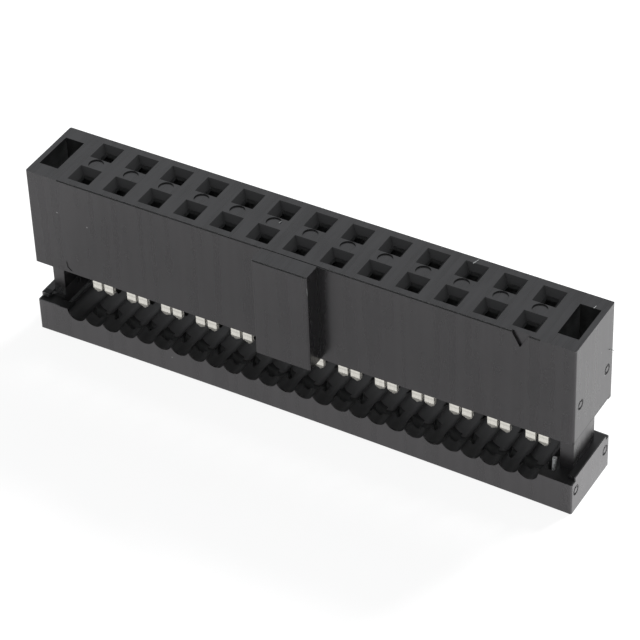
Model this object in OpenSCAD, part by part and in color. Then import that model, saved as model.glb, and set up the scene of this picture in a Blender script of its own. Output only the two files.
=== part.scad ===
// Ribbon cable socket for two rows of square header posts.
// It stands open, as delivered: the cover hangs by its two latch legs below the body,
// and the forks of the contacts wait above the cover's wire grooves.
// X runs along the rows, +Y is the back, +Z is the mating face.
// The origin is the middle of the cover's underside.

/* [Contact grid] */
// Number of contact columns in each of the two rows
columns = 13; // [5:1:29]
// Spacing of the columns, and of the two rows
pitch = 2.54; // [2.5:0.01:2.8]

/* [Body] */
// Width of the body and the cover, front to back
body_width = 5.08; // [4.9:0.02:6]
// Height of the body from its underside to its mating face
body_height = 7.1; // [6.6:0.1:9]
// Length of the body past the middle of its last column
end_length = 3.56; // [3.5:0.02:5]
// Radius of the upright corners
corner_radius = 0.12; // [0.05:0.01:0.3]

/* [Contact holes] */
// Side of the square hole for one header post, at the mating face
hole_size = 1.54; // [1.3:0.02:1.6]
// Depth of the slanted lead-in below the mating face
lead_in_depth = 0.45; // [0.3:0.05:0.5]
// Side of the hole below its lead-in, along the rows
throat_length = 0.86; // [0.8:0.02:1]
// Side of the hole below its lead-in, front to back
throat_breadth = 1; // [0.8:0.02:1.1]
// Distance from the mating face down to the contact's cavity
hole_lip = 0.75; // [0.6:0.05:1.1]
// Side of the square cavity that holds one contact
cavity_size = 1.7; // [1.6:0.05:1.9]

/* [Polarising key] */
// Width of the key in the middle of the front face
key_width = 3.8; // [3:0.1:6]
// How far the key stands out of the front face
key_depth = 1.26; // [0.8:0.02:2]

/* [Mould marks] */
// Diameter of the round ejector marks between the rows
ejector_diameter = 0.96; // [0.6:0.02:1]
// Depth of the ejector marks
ejector_depth = 0.08; // [0.04:0.01:0.2]
// Width of the triangle that marks contact one
pin_mark_width = 1.14; // [0.8:0.02:1.6]
// Height of the triangle that marks contact one
pin_mark_height = 1; // [0.6:0.05:1.5]
// Depth of the triangle that marks contact one
pin_mark_depth = 0.15; // [0.1:0.01:0.3]
// Width and depth of the parting line round the mating face
parting_size = 0.07; // [0.04:0.01:0.1]
// How far the parting line runs past the middle of the last column
parting_overrun = 1.26; // [1:0.02:2]
// Diameter of the ring-shaped witness marks on the end faces
witness_diameter = 0.7; // [0.6:0.05:0.8]
// Diameter of the round middle that each ring leaves standing
witness_core = 0.36; // [0.2:0.02:0.5]
// Depth of the witness marks
witness_depth = 0.08; // [0.03:0.01:0.1]
// Distance between the two witness marks on one end of the body
body_witness_spacing = 3.54; // [3:0.02:3.8]
// Height of the body's witness marks above its underside
body_witness_height = 2.6; // [1.5:0.1:4]
// Distance between the two witness marks on one end of the cover
cover_witness_spacing = 3.96; // [3:0.02:4.1]
// Height of the cover's witness marks above its underside
cover_witness_height = 1.54; // [0.8:0.02:1.7]

/* [Cover] */
// Height of the cover beside its wire grooves
cover_height = 2.27; // [2.2:0.01:3]
// Radius of one wire groove
groove_radius = 0.7; // [0.64:0.01:0.8]
// Width of the hole round a fork's first tine, front to back
tine_hole_width = 0.86; // [0.6:0.02:1]
// Length of the notch in the ridge past a fork's second tine
ridge_notch_length = 0.36; // [0.2:0.02:0.4]
// Width of that notch, front to back
ridge_notch_width = 0.48; // [0.3:0.02:0.6]
// Distance of that notch from the fork, towards the middle of the cover
ridge_notch_shift = 0.3; // [0.2:0.02:0.4]
// How far the middle of each end wall stands above the cover's corners
end_rise = 0.3; // [0.2:0.02:0.5]
// Width of the raised middle of each end wall
end_rise_width = 4.1; // [3.8:0.02:4.5]

/* [Cable gap] */
// Open space between the cover and the body's underside
cable_gap = 3.2; // [2.8:0.1:4]
// Space that is left when the cover is pressed home
closed_gap = 0.25; // [0.1:0.01:0.28]

/* [Latch legs] */
// Distance of a leg's outer face from the end face
leg_inset = 0.46; // [0.4:0.01:0.6]
// Thickness of a leg along the rows
leg_thickness = 0.9; // [0.7:0.02:1]
// Width of a leg, front to back
leg_width = 2.76; // [2.2:0.02:3.2]
// Height of a leg's top above the body's underside while the cover is open
leg_reach = 3.9; // [3.4:0.1:4]
// How far the hook stands in from the leg
hook_depth = 0.25; // [0.15:0.01:0.3]
// Height of the hook at the leg's top
hook_height = 0.6; // [0.4:0.05:0.8]
// Height of the hook's slanted lead-in
hook_lead = 0.35; // [0.2:0.05:0.35]
// Free space on each side of a leg and its hook
latch_clearance = 0.1; // [0.06:0.01:0.12]
// Length of the well between a leg and the last groove
well_length = 0.74; // [0.6:0.02:0.8]
// How far that well reaches past the leg, in front and behind
well_margin = 0.47; // [0.3:0.01:0.5]
// Thickness of the cover's floor below that well
well_floor = 1.6; // [0.4:0.05:1.7]

/* [Contacts] */
// Thickness of the contact's sheet metal
blade_thickness = 0.28; // [0.2:0.01:0.36]
// Width of one tine of the wire fork
tine_width = 0.65; // [0.55:0.01:0.7]
// Width of the slot that bites through the wire's insulation
wire_slot = 0.2; // [0.1:0.01:0.24]
// How far the tines reach below the body's underside
tine_reach = 2; // [1.6:0.05:2.1]
// Width of the slanted lead-in on the inside of a tine's tip
tip_lead_width = 0.36; // [0.2:0.02:0.38]
// Width of the chamfer on the outside of a tine's tip
tip_chamfer = 0.24; // [0.1:0.02:0.28]
// Height of that lead-in and that chamfer
tip_height = 0.25; // [0.1:0.01:0.35]
// Height over which the tips are coined thinner
coin_height = 0.36; // [0.2:0.02:0.6]
// Thickness that is left at a coined tip
coin_edge = 0.06; // [0.04:0.01:0.15]
// Free space in front of and behind a fork in the cover's slot
tine_clearance = 0.05; // [0.03:0.01:0.1]
// Free space at both sides of a fork in that slot
tine_play = 0.2; // [0.1:0.01:0.24]
// Free depth below a fork in that slot when the cover is pressed home
slot_spare = 0.25; // [0.1:0.05:0.35]
// Height above the body's underside where the contact's shoulder starts
shoulder_start = 0.2; // [0.1:0.05:0.4]
// Height of the shoulder that seats in the body
shoulder_height = 0.9; // [0.6:0.05:1.2]
// How far the shoulder reaches past the contact's column, away from the fork
shoulder_tail = 0.8; // [0.76:0.01:0.9]
// Length of the two spring beams above the shoulder
beam_length = 4.5; // [4:0.1:4.8]
// Width across both beams at their roots
beam_span = 1.52; // [1.4:0.02:1.56]
// Width across both beams at their tips
beam_tip_span = 1.24; // [1.1:0.02:1.36]
// Room between the beams at their roots
throat_width = 0.68; // [0.66:0.01:0.74]
// Room between the beams where they grip the post
grip_gap = 0.5; // [0.4:0.01:0.6]
// Room between the tips of the beams
tip_gap = 0.84; // [0.7:0.02:0.9]
// Distance of the grip below the tips of the beams
grip_drop = 0.6; // [0.4:0.05:1]
// Length of the straight part of the grip
grip_length = 0.3; // [0.2:0.05:0.5]

/* [Hidden] */
// Fineness of round surfaces
$fn = 48;
// Overlap that makes a cut break cleanly through a face
cut_over = 1;
// Names of the two rows, front row first
ROWS = ["front", "back"];
// Wires lie at half the pitch, and each fork sits over the wire beside its column
wire_pitch = pitch / 2;
fork_offset = wire_pitch / 2;
wires = 2 * columns;
last_column = (columns - 1) / 2 * pitch;
half_length = last_column + end_length;
body_bottom = cover_height + cable_gap;
body_top = body_bottom + body_height;
travel = cable_gap - closed_gap;
// Latch legs, measured from the middle of the part
leg_outer = half_length - leg_inset;
leg_inner = leg_outer - leg_thickness;
leg_top = body_bottom + leg_reach;
hook_bottom = leg_top - hook_height;
guide_outer = leg_outer + latch_clearance;
guide_inner = leg_inner - latch_clearance;
end_notch = end_rise - closed_gap + latch_clearance / 2;
// Wire fork of a contact
fork_half = tine_width + wire_slot / 2;
slot_floor = body_bottom - tine_reach - travel - slot_spare;
shoulder_top = shoulder_start + shoulder_height;
beam_top = shoulder_top + beam_length;

function column_x(column) = column * pitch - last_column;
function contact_name(row, column) =
    str("contact_", ROWS[row], "_", column < 9 ? "0" : "", column + 1);

// Places its children at one contact. The back row is the front row turned half round.
module at_contact(row, column) {
    turn = 180 * row;
    side = row == 0 ? -1 : 1;
    translate([column_x(column), side * pitch / 2, 0])
        rotate(turn)
            children();
}

module at_each_contact() {
    for (row = [0:1])
        for (column = [0:columns - 1])
            at_contact(row, column)
                children();
}

module at_both_ends() {
    for (end = [0:1])
        mirror([end, 0, 0])
            children();
}

// A rectangle round its own middle, with round corners
module rounded_rectangle(length, width) {
    square([length - 2 * corner_radius, width], center = true);
    square([length, width - 2 * corner_radius], center = true);
    for (x = [-1, 1])
        for (y = [-1, 1])
            translate([x * (length / 2 - corner_radius), y * (width / 2 - corner_radius)])
                circle(corner_radius);
}

// A block with its lower end at bottom and its upper end at top
module upright_block(length, width, bottom, top) {
    translate([-length / 2, -width / 2, bottom])
        cube([length, width, top - bottom]);
}

// A profile drawn in X and Z, given its thickness along Y
module plate(thickness) {
    rotate([90, 0, 0])
        linear_extrude(thickness, center = true)
            children();
}

// Plan of the body: a plain block with the key on its front
module body_plan() {
    rounded_rectangle(2 * half_length, body_width);
    translate([0, -(body_width / 2 + key_depth) / 2])
        rounded_rectangle(key_width, body_width / 2 + key_depth);
}

// One view of a post hole, upright on the mating face: a slanted lead-in above a straight throat
module hole_outline(throat) {
    hole_edge = hole_size / 2;
    throat_edge = throat / 2;
    polygon([
        [-hole_edge, cut_over],
        [-hole_edge, 0],
        [-throat_edge, -lead_in_depth],
        [-throat_edge, -hole_lip - cut_over],
        [throat_edge, -hole_lip - cut_over],
        [throat_edge, -lead_in_depth],
        [hole_edge, 0],
        [hole_edge, cut_over]
    ]);
}

// Post hole, and below it the wider cavity for the contact's beams
module contact_opening() {
    translate([0, 0, body_top])
        intersection() {
            plate(pitch)
                hole_outline(throat_length);
            rotate(90)
                plate(pitch)
                    hole_outline(throat_breadth);
        }
    upright_block(cavity_size, cavity_size, body_bottom + shoulder_top, body_top - hole_lip);
}

// Slot through the body's floor that the contact's shoulder is pressed into
module shoulder_slot() {
    translate([0, 0, body_bottom])
        plate(blade_thickness)
            translate([-shoulder_tail, -cut_over])
                square([shoulder_tail + fork_offset + fork_half, shoulder_top + cut_over]);
}

// Guide for a latch leg, which opens into a pocket where the hook is free to rise
module latch_pocket() {
    pocket_inner = guide_inner - hook_depth;
    pocket_width = leg_width + 2 * latch_clearance;
    translate([guide_inner, -pocket_width / 2, body_bottom - cut_over])
        cube([guide_outer - guide_inner, pocket_width, body_height + 2 * cut_over]);
    translate([pocket_inner, -pocket_width / 2, hook_bottom - latch_clearance])
        cube([guide_outer - pocket_inner, pocket_width, body_height]);
}

// Shallow notch that takes the raised end wall of the closed cover
module end_wall_notch() {
    notch_width = end_rise_width + 2 * latch_clearance;
    translate([leg_outer - latch_clearance, -notch_width / 2, body_bottom - cut_over])
        cube([half_length, notch_width, cut_over + end_notch]);
}

// Two ring-shaped marks on one end face
module witness_marks(spacing, height) {
    for (side = [-1, 1])
        translate([half_length - witness_depth, side * spacing / 2, height])
            rotate([0, 90, 0])
                linear_extrude(cut_over)
                    difference() {
                        circle(d = witness_diameter);
                        circle(d = witness_core);
                    }
}

module ejector_marks() {
    for (column = [0:columns - 1])
        translate([column_x(column), 0, body_top - ejector_depth])
            cylinder(h = cut_over, d = ejector_diameter);
}

// Triangle at the front edge that points at contact one
module pin_mark() {
    translate([last_column, -body_width / 2, body_top])
        plate(2 * pin_mark_depth)
            polygon([
                [-pin_mark_width / 2, 0],
                [0, -pin_mark_height],
                [pin_mark_width / 2, 0]
            ]);
}

// Fine step at the mating face's front edge and the key's, which crosses the key's root as a groove
module parting_line() {
    line_end = last_column + parting_overrun;
    line_bottom = body_top - parting_size;
    at_both_ends()
        translate([key_width / 2, -body_width / 2 - cut_over, line_bottom])
            cube([line_end - key_width / 2, cut_over + parting_size, cut_over]);
    translate([-line_end, -body_width / 2, line_bottom])
        cube([2 * line_end, parting_size, cut_over]);
    translate([-key_width / 2, -body_width / 2 - key_depth - cut_over, line_bottom])
        cube([key_width, cut_over + parting_size, cut_over]);
}

module body() {
    color("#403f41")
    difference() {
        translate([0, 0, body_bottom])
            linear_extrude(body_height)
                body_plan();
        at_each_contact() {
            contact_opening();
            shoulder_slot();
        }
        at_both_ends() {
            latch_pocket();
            end_wall_notch();
            witness_marks(body_witness_spacing, body_bottom + body_witness_height);
        }
        ejector_marks();
        pin_mark();
        parting_line();
    }
}

module wire_grooves() {
    for (wire = [0:wires - 1])
        translate([(wire - (wires - 1) / 2) * wire_pitch, 0, cover_height])
            rotate([90, 0, 0])
                cylinder(h = body_width + 2 * cut_over, r = groove_radius, center = true);
}

// Slot in the cover that a fork sinks into as the cover closes: a wide hole for the first tine,
// a close one for the second, and a notch in the ridge past it
module fork_slot() {
    slot_half = fork_half + tine_play;
    hole_length = slot_half - wire_slot / 2;
    slot_top = cover_height + cut_over;
    translate([fork_offset, 0, 0]) {
        upright_block(2 * slot_half, blade_thickness + 2 * tine_clearance, slot_floor, slot_top);
        translate([hole_length / 2 - slot_half, 0, 0])
            upright_block(hole_length, tine_hole_width, slot_floor, slot_top);
        translate([(wire_pitch + ridge_notch_length) / 2, ridge_notch_shift, 0])
            upright_block(ridge_notch_length, ridge_notch_width, slot_floor, slot_top);
    }
}

// Well on the inside of a latch leg, so that the leg can spring
module leg_well() {
    well_width = leg_width + 2 * well_margin;
    translate([leg_inner - well_length, -well_width / 2, well_floor])
        cube([well_length, well_width, cover_height]);
}

module raised_end_wall() {
    translate([leg_outer, -end_rise_width / 2, 0])
        cube([half_length - leg_outer, end_rise_width, cover_height + end_rise]);
}

module latch_leg() {
    translate([leg_inner, 0, 0])
        plate(leg_width)
            polygon([
                [0, 0],
                [leg_thickness, 0],
                [leg_thickness, leg_top - hook_depth],
                [leg_thickness - hook_depth, leg_top],
                [0, leg_top],
                [-hook_depth, leg_top - hook_lead],
                [-hook_depth, hook_bottom],
                [0, hook_bottom]
            ]);
}

module cover() {
    color("#3c3b3d") {
        difference() {
            union() {
                linear_extrude(cover_height)
                    rounded_rectangle(2 * half_length, body_width);
                at_both_ends()
                    raised_end_wall();
            }
            wire_grooves();
            at_each_contact()
                fork_slot();
            at_both_ends() {
                leg_well();
                witness_marks(cover_witness_spacing, cover_witness_height);
            }
        }
        at_both_ends()
            latch_leg();
    }
}

// Outer edge of the flat pattern: fork below, shoulder, and a tapering stem above
module contact_blank() {
    fork_left = fork_offset - fork_half;
    fork_right = fork_offset + fork_half;
    polygon([
        [fork_left, shoulder_start],
        [fork_left, tip_height - tine_reach],
        [fork_left + tip_chamfer, -tine_reach],
        [fork_right - tip_chamfer, -tine_reach],
        [fork_right, tip_height - tine_reach],
        [fork_right, shoulder_top],
        [beam_span / 2, shoulder_top],
        [beam_tip_span / 2, beam_top],
        [-beam_tip_span / 2, beam_top],
        [-beam_span / 2, shoulder_top],
        [-shoulder_tail, shoulder_top],
        [-shoulder_tail, shoulder_start]
    ]);
}

// Slot between the tines, with a slanted lead-in and a round end
module wire_slot_cut() {
    slot_edge = wire_slot / 2;
    lead_edge = slot_edge + tip_lead_width;
    slot_top = shoulder_start;
    polygon([
        [-lead_edge, -tine_reach - cut_over],
        [lead_edge, -tine_reach - cut_over],
        [lead_edge, -tine_reach],
        [slot_edge, tip_height - tine_reach],
        [slot_edge, slot_top],
        [-slot_edge, slot_top],
        [-slot_edge, tip_height - tine_reach],
        [-lead_edge, -tine_reach]
    ]);
    translate([0, slot_top])
        circle(d = wire_slot);
}

// Room between the beams: wide at the round root, narrow where they grip, flared at the tips
module throat_cut() {
    grip_top = beam_top - grip_drop;
    grip_bottom = grip_top - grip_length;
    root_edge = throat_width / 2;
    grip_edge = grip_gap / 2;
    tip_edge = tip_gap / 2;
    polygon([
        [-root_edge, shoulder_top],
        [root_edge, shoulder_top],
        [root_edge, grip_bottom - grip_drop],
        [grip_edge, grip_bottom],
        [grip_edge, grip_top],
        [tip_edge, beam_top],
        [tip_edge, beam_top + cut_over],
        [-tip_edge, beam_top + cut_over],
        [-tip_edge, beam_top],
        [-grip_edge, grip_top],
        [-grip_edge, grip_bottom],
        [-root_edge, grip_bottom - grip_drop]
    ]);
    translate([0, shoulder_top])
        circle(d = throat_width);
}

// Flat pattern of a contact, as it is stamped
module contact_profile() {
    difference() {
        contact_blank();
        translate([fork_offset, 0])
            wire_slot_cut();
        throat_cut();
    }
}

// Side view of a contact: plain sheet with its tips coined to a thin edge
module coined_sheet() {
    sheet_edge = blade_thickness / 2;
    tip_edge = coin_edge / 2;
    polygon([
        [-tip_edge, -tine_reach],
        [tip_edge, -tine_reach],
        [sheet_edge, coin_height - tine_reach],
        [sheet_edge, beam_top + cut_over],
        [-sheet_edge, beam_top + cut_over],
        [-sheet_edge, coin_height - tine_reach]
    ]);
}

module contact(row, column) {
    color("#d8d6d1")
    at_contact(row, column)
        translate([0, 0, body_bottom])
            intersection() {
                plate(pitch)
                    contact_profile();
                rotate(90)
                    plate(2 * pitch)
                        coined_sheet();
            }
}

body();
cover();
for (row = [0:1])
    for (column = [0:columns - 1])
        contact(row, column);
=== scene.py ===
"""Looks of a ribbon cable socket: black moulded plastic, bright tin contacts, white studio."""
import math

import bmesh
import bpy
from mathutils import Matrix, Vector


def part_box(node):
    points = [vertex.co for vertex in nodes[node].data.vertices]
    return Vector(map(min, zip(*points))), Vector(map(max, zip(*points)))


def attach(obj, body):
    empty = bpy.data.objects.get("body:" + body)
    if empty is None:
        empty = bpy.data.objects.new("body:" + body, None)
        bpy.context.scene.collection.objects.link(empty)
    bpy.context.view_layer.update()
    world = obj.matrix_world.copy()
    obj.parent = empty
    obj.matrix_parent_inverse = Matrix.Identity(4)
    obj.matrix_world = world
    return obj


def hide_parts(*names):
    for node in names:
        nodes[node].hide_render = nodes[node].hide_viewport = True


MM = 0.001

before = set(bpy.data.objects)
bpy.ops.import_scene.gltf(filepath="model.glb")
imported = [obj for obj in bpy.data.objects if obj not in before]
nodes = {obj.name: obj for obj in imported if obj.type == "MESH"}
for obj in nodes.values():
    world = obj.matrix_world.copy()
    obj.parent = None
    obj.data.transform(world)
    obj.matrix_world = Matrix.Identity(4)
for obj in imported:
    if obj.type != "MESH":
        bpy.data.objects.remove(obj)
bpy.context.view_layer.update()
scene = bpy.context.scene
scene.view_settings.view_transform = "Standard"

body_low, body_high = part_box("body")
cover_low, cover_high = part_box("cover")
tine_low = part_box("contact_front_01")[0].z

# Camera, where the photographer stood
CAMERA_AZIMUTH = math.radians(31.25)
CAMERA_ELEVATION = math.radians(39.45)
CAMERA_ROLL = math.radians(-2.38)
CAMERA_PLACE = Vector((73.18, -119.91, 121.50)) * MM
CAMERA_LENS = 167.8
CAMERA_SENSOR = 36
CAMERA_NEAR = 1 * MM
CAMERA_FAR = 10

# Studio: white paper, and a pale sky that is dimmer low down and overhead
FLOOR_REACH = 2.0
FLOOR_DROP = 0.02 * MM
FLOOR_WHITE = 0.9
FLOOR_SHOWN = 0.9
FLOOR_MIRRORED = 0.82
SKY_LOW = 0.32
SKY_HIGH = 0.97
SKY_ZENITH = 0.4
SKY_RISE = (0.1, 0.6)
SKY_FALL = (0.74, 0.98)
SKY_COLOUR = (0.96, 0.99, 1.0, 1)
LAMP_PLACE = Vector((80, 235, 170)) * MM
LAMP_SIZE = 120 * MM
LAMP_POWER = 4.5

# The cover is bowed, with its middle up, and its left end stands out further than its right
COVER_BOW = 0.2 * MM
COVER_SHIFT = -0.1 * MM
COVER_STRETCH = 0.0035
COVER_STEP = 1.0 * MM
LEG_SHIFT = -0.06 * MM
WELD_DISTANCE = 0.0001 * MM
SHARP_ANGLE = math.radians(30)

# Latch legs: heights over the cover's underside and distances from its ends, and the shelf's width
LEG_FOOT = 2.57 * MM
LEG_INNER = 1.37 * MM
LEG_OUTER = 0.46 * MM
# Heights over the cover's underside over which the painted light on the left leg's foot fades out
PAINTED_FOOT_LIGHT_LOW = 2.2 * MM
PAINTED_FOOT_LIGHT_HIGH = 3.5 * MM
WELL_REACH = 2.1 * MM
SHELF_WIDTH = 0.9 * MM

# Heights over the foot of the legs: the raised ends, and the stretch over which the painted shade at the
# legs' foot gives way to their full shine
END_WALL = 0.31 * MM
FOOT_LOW = 0.85 * MM
FOOT_HIGH = 1.7 * MM

# Ends of the body: reach of the latch pockets, and height of the band of painted shade at the foot
POCKET_REACH = 2.4 * MM
PAINTED_SHADE_BAND = 0.22 * MM

# Layers that tell outer faces from inner ones, and how squarely a face looks along an axis
SKIN = 0.085 * MM
FRONT_SKIN = 0.16 * MM
MARK_LIP = 0.004 * MM
SQUARE = 0.9
NEARLY_SQUARE = 0.7
CORNER_TURN = (-0.98, -0.05)

# Grain, blotches and flow lines of the mould, in cycles per millimetre
GRAIN = 9.0
GRAIN_DETAIL = 3.0
GRAIN_STRENGTH = 0.12
GRAIN_DEPTH = 0.02 * MM
BLOTCH = 0.6
BLOTCH_DETAIL = 3.0
BLOTCH_SHARE = 0.4
WALL_LINES = (2.2, 2.2, 0.066)
WALL_LINE_DETAIL = 0.0
TOP_LINES = (3.52, 0.264, 2.2)
TOP_LINE_DETAIL = 1.0
LINE_SHARE = 0.6
NOISE_RANGE = (0.3, 0.7)

# Black plastic: the outer faces are polished, and the ones that cores have formed are dull
POLISHED_BASE = (0.0068, 0.0066, 0.0068, 1)
POLISHED_ROUGHNESS = 0.285
ROUGHNESS_SWING = 0.025
INSIDE_ROUGHNESS = 0.48
PLASTIC_IOR = 1.57
SHINE_TINT = (1.0, 0.965, 1.0, 1)
WALL_SWING = 0.06
TOP_SWING = 0.13
BODY_SHINE = 0.49
# Lower shine at the foot of the body's ends: painted shade
PAINTED_SHADE_BAND_SHINE = 0.25
KEY_CORNER_SHINE = 0.34
LEG_SHINE = 0.52
# Lower shine at the foot of the legs: painted shade
LEG_FOOT_SHADE_SHINE = 0.15
COVER_SHINE = 0.68
COVER_END_SHINE = 0.94

# Inside faces: tone where they lie open, the lighter tone where they lie deep, which is painted light
# standing in for bounce light, and shine
HOLE_OPEN = 0.021
HOLE_DEEP_PAINTED_LIGHT = 0.09
HOLE_SHINE = 0.3
POCKET_OPEN = 0.018
POCKET_DEEP_PAINTED_LIGHT = 0.2
POCKET_SHINE = 0.14
GROOVE_OPEN = 0.009
GROOVE_DEEP_PAINTED_LIGHT = 0.1
GROOVE_SHINE = 0.36
WELL_PAINTED_LIGHT = 0.45
SHELF_SHINE = 0.1
DEPTH_REACH = 2 * MM
DEPTH_RANGE = (0.1, 0.4)
DEPTH_SAMPLES = 8

# Edges, mould marks, and painted light on the sunk marks, on the parting line's step and on the foot of the
# left leg
FINE_EDGE = 0.002 * MM
MARK_EDGE = 0.12 * MM
# Tone of the sunk marks on the ends, lighter than the face: painted light for the shade in their rings
MARK_PAINTED_LIGHT = 0.05
PAINTED_LIGHT_BASE = 0.037
EDGE_SAMPLES = 6

# Dust: cells per millimetre, the share of cells left clean, and the size of a speck in its cell
DUST_CELLS = 0.9
DUST_CLEAN = 0.8
DUST_SIZE = (0.02, 0.05)
DUST_COVER = 0.6
DUST_TONE = 0.4

# Bright tin, drawn along the contacts
TIN_COLOUR = (0.745, 0.725, 0.67, 1)
TIN_ROUGHNESS = (0.2, 0.32)
TIN_COARSE = 0.52
TIN_EDGE = 0.03 * MM
DRAWN_STRETCH = (1, 1, 0.1)
DRAWN_LINES = 8.0
DRAWN_DETAIL = 2.0

# Height of the dark band painted across the tines for the shading of a stamped crease, and of their coined
# tips
CREASE_RISE = 0.68 * MM
CREASE_CORE = 0.03 * MM
CREASE_RIM = 0.1 * MM
CREASE_PAINTED_SHADE = 0.86
COIN_RISE = 0.36 * MM

# Burrs and lint, and pale strands of painted light for a lit patch in the well and a highlight on the key's
# edge, as points in millimetres
WELL_LIT_PATCH = ((16.85, -0.92, 2.45), (16.85, -1.08, 1.62))
RIM_BURR = ((17.96, 1.47, 12.58), (18.0, 1.7, 12.58))
# Along the key's right front edge: a painted highlight
KEY_EDGE_HIGHLIGHT = ((1.9, -3.79, 11.8), (1.92, -3.8, 11.4), (1.9, -3.79, 11.1))
MARK_FLECK = ((-2.23, 0.11, 12.51), (-2.19, 0.4, 12.51))
EDGE_LINT = ((9.9, 1.95, 12.58), (10.04, 2.4, 12.58))
END_LINT = ((18.82, 1.98, 9.43), (18.82, 2.3, 9.17), (18.82, 2.6, 8.88))
FRONT_HAIR = ((-16.38, -2.55, 6.26), (-16.32, -2.55, 5.85), (-16.03, -2.55, 5.63))
LIT_PATCH_RADIUS = 0.16 * MM
FLECK_RADIUS = 0.035 * MM
HAIR_RADIUS = 0.03 * MM
BURR_LINT_AND_HIGHLIGHT_RADIUS = 0.025 * MM
STRAND_TAPER = 0.7
PALE_TONES = (0.35, 0.75)
GREY_TONES = (0.04, 0.16)
DARK_TONES = (0.002, 0.01)
SPECKLE = 6.0
SPECKLE_DETAIL = 3.0
SPECKLE_RANGE = (0.35, 0.65)
LINT_ROUGHNESS = 0.7


def add_camera():
    data = bpy.data.cameras.new("camera")
    data.lens = CAMERA_LENS
    data.sensor_width = CAMERA_SENSOR
    data.clip_start = CAMERA_NEAR
    data.clip_end = CAMERA_FAR
    camera = bpy.data.objects.new("camera", data)
    scene.collection.objects.link(camera)
    turn = Matrix.Rotation(CAMERA_AZIMUTH, 4, "Z")
    tilt = Matrix.Rotation(math.pi / 2 - CAMERA_ELEVATION, 4, "X")
    roll = Matrix.Rotation(CAMERA_ROLL, 4, "Z")
    camera.matrix_world = Matrix.Translation(CAMERA_PLACE) @ turn @ tilt @ roll
    scene.camera = camera


class Nodes:
    """Short way to write a node tree."""

    def __init__(self, tree):
        self.tree = tree
        tree.nodes.clear()

    def add(self, kind, inputs=None, **settings):
        node = self.tree.nodes.new("ShaderNode" + kind)
        for name, value in settings.items():
            setattr(node, name, value)
        for name, value in (inputs or {}).items():
            self.put(node.inputs[name], value)
        return node

    def put(self, socket, value):
        if isinstance(value, bpy.types.NodeSocket):
            self.tree.links.new(value, socket)
        else:
            socket.default_value = value

    def math(self, operation, *values):
        node = self.add("Math", operation=operation)
        for place, value in enumerate(values):
            self.put(node.inputs[place], value)
        return node.outputs[0]

    def absolute(self, value):
        return self.math("ABSOLUTE", value)

    def subtract(self, value, less):
        return self.math("SUBTRACT", value, less)

    def multiply(self, value, factor):
        return self.math("MULTIPLY", value, factor)

    def above(self, value, limit):
        return self.math("GREATER_THAN", value, limit)

    def below(self, value, limit):
        return self.math("LESS_THAN", value, limit)

    def between(self, value, low, high):
        return self.multiply(self.above(value, low), self.below(value, high))

    def all_of(self, first, *others):
        """Product of shares: one where each of them is one."""
        for share in others:
            first = self.multiply(first, share)
        return first

    def any_of(self, first, *others):
        """Greatest of shares: one where at least one of them is one."""
        for share in others:
            first = self.math("MAXIMUM", first, share)
        return first

    def ramp(self, value, low, high, start=0.0, end=1.0):
        """Smooth step of value from start at low to end at high."""
        node = self.add("MapRange", interpolation_type="SMOOTHSTEP")
        names = ("Value", "From Min", "From Max", "To Min", "To Max")
        for name, number in zip(names, (value, low, high, start, end)):
            self.put(node.inputs[name], number)
        return node.outputs[0]

    def mix(self, share, start, end):
        """Number between start and end."""
        return self.add("Mix", {0: share, 2: start, 3: end}).outputs[0]

    def blend(self, share, start, end):
        """Colour between start and end."""
        return self.add("Mix", {0: share, 6: start, 7: end}, data_type="RGBA").outputs[2]

    def millimetres(self, stretch=(1, 1, 1)):
        """Place on the object in millimetres, with each axis multiplied by stretch."""
        place = self.add("TexCoord").outputs["Object"]
        scale = tuple(factor / MM for factor in stretch)
        return self.add("VectorMath", {0: place, 1: scale}, operation="MULTIPLY").outputs[0]

    def place(self):
        """Place on the object in metres, as three numbers."""
        return self.add("SeparateXYZ", {0: self.add("TexCoord").outputs["Object"]}).outputs

    def facing(self):
        """Direction that the surface faces, as three numbers."""
        return self.add("SeparateXYZ", {0: self.add("NewGeometry").outputs["True Normal"]}).outputs

    def noise(self, place, scale, detail):
        return self.add("TexNoise", {"Vector": place, "Scale": scale, "Detail": detail}).outputs["Fac"]


def new_material(name):
    material = bpy.data.materials.new(name)
    material.use_nodes = True
    return material, Nodes(material.node_tree)


def grey(value):
    return (value, value, value, 1)


class Finish:
    """What the finishes of both mouldings start from: places on them, and where their faces look."""

    def __init__(self, tree):
        self.tree = tree
        self.x, self.y, self.z = tree.place()
        self.face_x, self.face_y, self.face_z = tree.facing()

    def sunk_marks(self, along, high):
        """One in the shallow round marks on the ends."""
        tree = self.tree
        depth = tree.subtract(high.x, tree.absolute(along))
        sunk = tree.between(depth, MARK_LIP, SKIN)
        within = tree.below(tree.absolute(self.y), high.y - SKIN)
        return tree.all_of(sunk, within, tree.below(self.z, high.z - SKIN))


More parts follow.
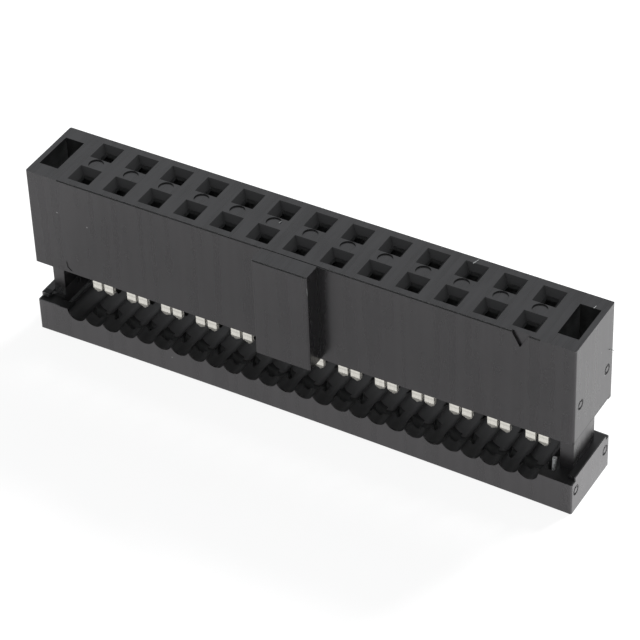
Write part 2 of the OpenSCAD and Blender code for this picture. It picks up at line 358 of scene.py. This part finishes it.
class BodyFinish(Finish):
    """Finish of the body. A share is one where its name holds, and nought elsewhere."""

    def ends(self):
        return self.tree.above(self.tree.absolute(self.x), body_high.x - SKIN)

    def dull(self):
        """All inside faces."""
        tree = self.tree
        top = tree.all_of(tree.above(self.z, body_high.z - SKIN), tree.above(self.face_z, SQUARE))
        front = tree.above(tree.absolute(self.y), body_high.y - FRONT_SKIN)
        under = tree.below(self.z, body_low.z + SKIN)
        return tree.subtract(1.0, tree.any_of(top, front, self.ends(), under))

    def marked(self):
        return self.sunk_marks(self.x, body_high)

    def painted_light(self):
        """Painted light in the fine step of the parting line, along the top of the front, the back and the
        key.
        """
        tree = self.tree
        drop = tree.subtract(body_high.z, self.z)
        from_wall = tree.subtract(body_high.y, tree.absolute(self.y))
        from_key = tree.subtract(self.y, body_low.y)
        step, wall, key = [tree.between(gap, MARK_LIP, SKIN) for gap in (drop, from_wall, from_key)]
        return tree.all_of(step, tree.any_of(wall, key))

    def polish(self):
        """Shine, which is lower at the foot of the ends, as painted shade for the shadow line there, and on
        the key's left corner.
        """
        tree = self.tree
        shade_band = tree.all_of(self.ends(), tree.below(self.z, body_low.z + PAINTED_SHADE_BAND))
        on_key = tree.below(self.y, -body_high.y - SKIN)
        corner = tree.all_of(on_key, tree.between(self.face_x, *CORNER_TURN))
        return tree.mix(corner, tree.mix(shade_band, BODY_SHINE, PAINTED_SHADE_BAND_SHINE), KEY_CORNER_SHINE)

    def inside(self):
        """Tone of open faces, painted light on deep faces, and shine, in the post holes and in the darker
        latch pockets.
        """
        pocket = self.tree.above(self.tree.absolute(self.x), body_high.x - POCKET_REACH)
        pairs = ((HOLE_OPEN, POCKET_OPEN), (HOLE_DEEP_PAINTED_LIGHT, POCKET_DEEP_PAINTED_LIGHT), (HOLE_SHINE, POCKET_SHINE))
        return [self.tree.mix(pocket, hole, latch) for hole, latch in pairs]


class CoverFinish(Finish):
    """Finish of the cover. A share is one where its name holds, and nought elsewhere."""

    def at_left_leg(self):
        return self.tree.below(self.x, cover_low.x + WELL_REACH)

    def within(self):
        """Faces between the front and the back."""
        return self.tree.below(self.tree.absolute(self.y), cover_high.y - SKIN)

    def dull(self):
        """Grooves, slots and wells, but not the outside and the legs."""
        tree = self.tree
        between_legs = tree.below(tree.absolute(self.x), cover_high.x - LEG_INNER)
        sunk = tree.any_of(between_legs, tree.above(self.face_z, NEARLY_SQUARE))
        height = tree.between(self.z, cover_low.z + SKIN, cover_low.z + LEG_FOOT + SKIN)
        return tree.all_of(sunk, self.within(), height)

    def marked(self):
        straight = self.tree.math("DIVIDE", self.tree.subtract(self.x, COVER_SHIFT), 1 + COVER_STRETCH)
        return self.sunk_marks(straight, cover_high)

    def painted_light(self):
        """Painted light on the foot of the left leg's front, fading out higher up."""
        tree = self.tree
        frontward = tree.below(self.face_y, -SQUARE)
        low = tree.ramp(self.z, cover_low.z + PAINTED_FOOT_LIGHT_LOW, cover_low.z + PAINTED_FOOT_LIGHT_HIGH, 1.0, 0.0)
        return tree.all_of(self.at_left_leg(), self.within(), frontward, low)

    def polish(self):
        """Shine, which is highest on the ends and lowest at the foot of the legs, where the low shine is
        painted shade.
        """
        tree = self.tree
        rise = tree.subtract(self.z, cover_low.z + LEG_FOOT)
        end = tree.above(tree.absolute(self.face_x), SQUARE)
        block = tree.mix(end, COVER_SHINE, COVER_END_SHINE)
        leg = tree.mix(end, LEG_SHINE, tree.ramp(rise, FOOT_LOW, FOOT_HIGH, LEG_FOOT_SHADE_SHINE, LEG_SHINE))
        return tree.mix(tree.above(rise, END_WALL), block, leg)

    def inside(self):
        """Tone of open faces, painted light on deep faces, and shine, with a dull shelf and, in the well at
        the left leg, stronger painted light.
        """
        tree = self.tree
        left = self.at_left_leg()
        shelf = tree.all_of(left, tree.below(self.y, cover_low.y + SHELF_WIDTH))
        well = tree.subtract(left, shelf)
        # The well at the left leg gets a paler deep tone: painted light.
        deep_painted_light = tree.mix(well, GROOVE_DEEP_PAINTED_LIGHT, WELL_PAINTED_LIGHT)
        return GROOVE_OPEN, deep_painted_light, tree.mix(shelf, GROOVE_SHINE, SHELF_SHINE)


def mould_unevenness(tree, top):
    """Blotches and flow lines, from minus one to one. The lines run down the walls and across the top."""
    blotch = tree.noise(tree.millimetres(), BLOTCH, BLOTCH_DETAIL)
    wall_lines = tree.noise(tree.millimetres(WALL_LINES), 1.0, WALL_LINE_DETAIL)
    top_lines = tree.noise(tree.millimetres(TOP_LINES), 1.0, TOP_LINE_DETAIL)
    lines = tree.mix(top, wall_lines, top_lines)
    mottle = tree.math("ADD", tree.multiply(blotch, BLOTCH_SHARE), tree.multiply(lines, LINE_SHARE))
    return tree.ramp(mottle, *NOISE_RANGE, -1.0, 1.0)


def dust(tree, dull):
    """How much a speck of dust hides of the polished faces."""
    cells = tree.add("TexVoronoi", {"Vector": tree.millimetres(), "Scale": DUST_CELLS})
    draw = tree.add("SeparateColor", {0: cells.outputs["Color"]}).outputs[0]
    speck = tree.ramp(cells.outputs["Distance"], *DUST_SIZE, 1.0, 0.0)
    return tree.all_of(tree.above(draw, DUST_CLEAN), speck, tree.ramp(dull, 0.0, 1.0, DUST_COVER, 0.0))


def inside_colour_with_painted_light(tree, open_tone, deep_painted_light):
    """Colour of the dull faces, painted lighter the deeper they lie: painted light standing in for bounce
    light.
    """
    openness = tree.add("AmbientOcclusion", {"Distance": DEPTH_REACH}, samples=DEPTH_SAMPLES).outputs["AO"]
    tone = tree.ramp(openness, *DEPTH_RANGE, deep_painted_light, open_tone)
    return tree.add("CombineColor", {0: tone, 1: tone, 2: tone}).outputs[0]


def soft_grain(tree, edge_radius):
    """Direction of the surface, with its edges eased and the fine grain of the mould."""
    edge = tree.add("Bevel", {"Radius": edge_radius}, samples=EDGE_SAMPLES)
    return tree.add("Bump", {
        "Strength": GRAIN_STRENGTH,
        "Distance": GRAIN_DEPTH,
        "Height": tree.noise(tree.millimetres(), GRAIN, GRAIN_DETAIL),
        "Normal": edge.outputs[0],
    }).outputs[0]


def plastic_material(name, finish_of):
    """Black moulded plastic: crisp edges, fine mould grain, faint flow lines and a little dust."""
    material, tree = new_material(name)
    finish = finish_of(tree)
    dull = finish.dull()
    mark = finish.marked()
    top = tree.above(finish.face_z, SQUARE)
    open_tone, deep_painted_light, dull_shine = finish.inside()
    unevenness = mould_unevenness(tree, top)
    polished = tree.math("MULTIPLY_ADD", unevenness, ROUGHNESS_SWING, POLISHED_ROUGHNESS)
    swing = tree.math("MULTIPLY_ADD", unevenness, tree.mix(top, WALL_SWING, TOP_SWING), 1.0)
    plain = tree.blend(dull, POLISHED_BASE, inside_colour_with_painted_light(tree, open_tone, deep_painted_light))
    # The sunk marks are painted lighter: painted light for the shade in their rings.
    marked = tree.blend(mark, plain, grey(MARK_PAINTED_LIGHT))
    # The parting line's step and the foot of the left leg are painted lighter: painted light.
    painted_light = tree.blend(finish.painted_light(), marked, grey(PAINTED_LIGHT_BASE))
    shader = tree.add("BsdfPrincipled", {
        "Base Color": tree.blend(dust(tree, dull), painted_light, grey(DUST_TONE)),
        "Roughness": tree.mix(dull, polished, INSIDE_ROUGHNESS),
        "IOR": PLASTIC_IOR,
        "Specular IOR Level": tree.mix(dull, tree.multiply(finish.polish(), swing), dull_shine),
        "Specular Tint": SHINE_TINT,
        "Normal": soft_grain(tree, tree.mix(mark, FINE_EDGE, MARK_EDGE)),
    })
    tree.add("OutputMaterial", {"Surface": shader.outputs["BSDF"]})
    return material


def tin_material():
    """Bright tin on stamped sheet: drawn faces, coarse cut edges, dull coined tips and a band of painted
    shade across.
    """
    material, tree = new_material("bright_tin")
    z = tree.place()[2]
    drawn = tree.noise(tree.millimetres(DRAWN_STRETCH), DRAWN_LINES, DRAWN_DETAIL)
    smooth = tree.ramp(drawn, *NOISE_RANGE, *TIN_ROUGHNESS)
    cut_edge = tree.above(tree.absolute(tree.facing()[0]), NEARLY_SQUARE)
    coined = tree.below(z, tine_low + COIN_RISE)
    off_crease = tree.absolute(tree.subtract(z, tine_low + CREASE_RISE))
    # A darker band across the tines: painted shade.
    crease = tree.ramp(off_crease, CREASE_CORE, CREASE_RIM, CREASE_PAINTED_SHADE, 1.0)
    edge = tree.add("Bevel", {"Radius": TIN_EDGE}, samples=EDGE_SAMPLES)
    shader = tree.add("BsdfPrincipled", {
        "Base Color": tree.blend(crease, grey(0), TIN_COLOUR),
        "Metallic": 1.0,
        "Roughness": tree.mix(tree.any_of(cut_edge, coined), smooth, TIN_COARSE),
        "Normal": edge.outputs[0],
    })
    tree.add("OutputMaterial", {"Surface": shader.outputs["BSDF"]})
    return material


def lint_material(name, dark, light):
    """A dull speckled thread, or a strand of painted light, between two tones."""
    material, tree = new_material(name)
    speckle = tree.ramp(tree.noise(tree.millimetres(), SPECKLE, SPECKLE_DETAIL), *SPECKLE_RANGE)
    colour = tree.blend(speckle, grey(dark), grey(light))
    shader = tree.add("BsdfPrincipled", {"Base Color": colour, "Roughness": LINT_ROUGHNESS})
    tree.add("OutputMaterial", {"Surface": shader.outputs["BSDF"]})
    return material


def floor_material():
    """White paper: pale to the lamps, and plain white to the eye and in reflections."""
    material, tree = new_material("white_floor")
    path = tree.add("LightPath")
    shown = tree.multiply(path.outputs["Is Camera Ray"], FLOOR_SHOWN)
    mirrored = tree.multiply(path.outputs["Is Glossy Ray"], FLOOR_MIRRORED)
    diffuse = tree.add("BsdfDiffuse", {"Color": grey(FLOOR_WHITE)})
    glow = tree.add("Emission", {"Color": grey(1), "Strength": 1.0})
    share = tree.any_of(shown, mirrored)
    mix = tree.add("MixShader", {0: share, 1: diffuse.outputs[0], 2: glow.outputs[0]})
    tree.add("OutputMaterial", {"Surface": mix.outputs[0]})
    return material


def add_floor():
    mesh = bpy.data.meshes.new("floor")
    reach = FLOOR_REACH
    corners = [(-reach, -reach, 0), (reach, -reach, 0), (reach, reach, 0), (-reach, reach, 0)]
    mesh.from_pydata(corners, [], [(0, 1, 2, 3)])
    mesh.materials.append(floor_material())
    floor = bpy.data.objects.new("floor", mesh)
    scene.collection.objects.link(floor)
    floor.location.z = -FLOOR_DROP
    return floor


def add_world():
    """A soft sky, which the camera sees as plain white."""
    world = bpy.data.worlds.new("studio")
    scene.world = world
    world.use_nodes = True
    tree = Nodes(world.node_tree)
    height = tree.add("SeparateXYZ", {0: tree.add("TexCoord").outputs["Generated"]}).outputs[2]
    level = tree.ramp(height, *SKY_RISE, SKY_LOW, tree.ramp(height, *SKY_FALL, SKY_HIGH, SKY_ZENITH))
    seen = tree.add("LightPath").outputs["Is Camera Ray"]
    background = tree.add("Background", {
        "Color": tree.blend(seen, SKY_COLOUR, grey(1)),
        "Strength": tree.mix(seen, level, 1.0),
    })
    tree.add("OutputWorld", {"Surface": background.outputs[0]})


def add_floor_lamp(floor):
    """A soft lamp behind the object that lights the paper only."""
    data = bpy.data.lights.new("floor_lamp", "AREA")
    data.size = LAMP_SIZE
    data.energy = LAMP_POWER
    lamp = bpy.data.objects.new("floor_lamp", data)
    scene.collection.objects.link(lamp)
    lamp.location = LAMP_PLACE
    lamp.rotation_mode = "QUATERNION"
    lamp.rotation_quaternion = LAMP_PLACE.to_track_quat("Z", "Y")
    lit = bpy.data.collections.new("lit_by_floor_lamp")
    lit.objects.link(floor)
    lamp.light_linking.receiver_collection = lit


def bend(cut):
    """Bow, shift and stretch the cover, with its legs held inside their guides."""
    half_length = cover_high.x
    leg_foot = cover_low.z + LEG_FOOT - SKIN
    leg_inner = half_length - LEG_INNER - SKIN
    leg_outer = half_length - LEG_OUTER + SKIN
    for vertex in cut.verts:
        along = vertex.co.x
        in_leg = vertex.co.z > leg_foot and leg_inner < abs(along) < leg_outer
        vertex.co.z += COVER_BOW * (1 - (along / half_length) ** 2)
        vertex.co.x += LEG_SHIFT if in_leg else COVER_SHIFT + COVER_STRETCH * along


def bowed_cover():
    """The cover with the slight bow that it has come out of the mould with."""
    mesh = nodes["cover"].data.copy()
    mesh.name = "bowed_cover"
    mesh.attributes.remove(mesh.attributes["custom_normal"])
    cut = bmesh.new()
    cut.from_mesh(mesh)
    bmesh.ops.remove_doubles(cut, verts=cut.verts, dist=WELD_DISTANCE)
    steps = int(cover_high.x / COVER_STEP)
    for step in range(-steps, steps + 1):
        everything = cut.verts[:] + cut.edges[:] + cut.faces[:]
        bmesh.ops.bisect_plane(cut, geom=everything, plane_co=(step * COVER_STEP, 0, 0), plane_no=(1, 0, 0))
    bend(cut)
    cut.to_mesh(mesh)
    cut.free()
    mesh.shade_smooth()
    mesh.set_sharp_from_angle(angle=SHARP_ANGLE)
    cover = bpy.data.objects.new("bowed_cover", mesh)
    scene.collection.objects.link(cover)
    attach(cover, "cover")
    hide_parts("cover")
    return cover


def paint(piece, material):
    piece.data.materials.clear()
    piece.data.materials.append(material)


def add_strand(name, body, points, radius, material):
    """A thin thread or burr, or a strand of painted light, through the points, which rides that body."""
    path = bpy.data.curves.new(name + "_path", "CURVE")
    path.dimensions = "3D"
    path.bevel_depth = radius
    path.bevel_resolution = 1
    path.use_fill_caps = True
    line = path.splines.new("POLY")
    line.points.add(len(points) - 1)
    for spot, point in zip(line.points, points):
        spot.co = (*(Vector(point) * MM), 1)
    line.points[-1].radius = STRAND_TAPER
    holder = bpy.data.objects.new(name + "_path", path)
    mesh = bpy.data.meshes.new_from_object(holder)
    bpy.data.objects.remove(holder)
    bpy.data.curves.remove(path)
    strand = bpy.data.objects.new(name, mesh)
    scene.collection.objects.link(strand)
    paint(strand, material)
    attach(strand, body)


add_camera()
add_world()
add_floor_lamp(add_floor())

body_plastic = plastic_material("body_plastic", BodyFinish)
cover_plastic = plastic_material("cover_plastic", CoverFinish)
bright_tin = tin_material()
paint(bowed_cover(), cover_plastic)
for name, node in nodes.items():
    if name.startswith("contact"):
        paint(node, bright_tin)
paint(nodes["body"], body_plastic)
paint(nodes["cover"], cover_plastic)

pale_lint_and_lit_patch = lint_material("pale_lint_and_lit_patch", *PALE_TONES)
grey_lint_and_highlight = lint_material("grey_lint_and_highlight", *GREY_TONES)
dark_hair = lint_material("dark_hair", *DARK_TONES)
# A pale strand in the right well: painted light for a lit patch.
add_strand("well_lit_patch", "cover", WELL_LIT_PATCH, LIT_PATCH_RADIUS, pale_lint_and_lit_patch)
add_strand("rim_burr", "socket", RIM_BURR, BURR_LINT_AND_HIGHLIGHT_RADIUS, pale_lint_and_lit_patch)
# A lighter strand along the key's right front edge: a painted highlight.
add_strand("key_edge_highlight", "socket", KEY_EDGE_HIGHLIGHT, BURR_LINT_AND_HIGHLIGHT_RADIUS, grey_lint_and_highlight)
add_strand("mark_fleck", "socket", MARK_FLECK, FLECK_RADIUS, pale_lint_and_lit_patch)
add_strand("edge_lint", "socket", EDGE_LINT, HAIR_RADIUS, pale_lint_and_lit_patch)
add_strand("end_lint", "socket", END_LINT, BURR_LINT_AND_HIGHLIGHT_RADIUS, grey_lint_and_highlight)
add_strand("front_hair", "socket", FRONT_HAIR, HAIR_RADIUS, dark_hair)
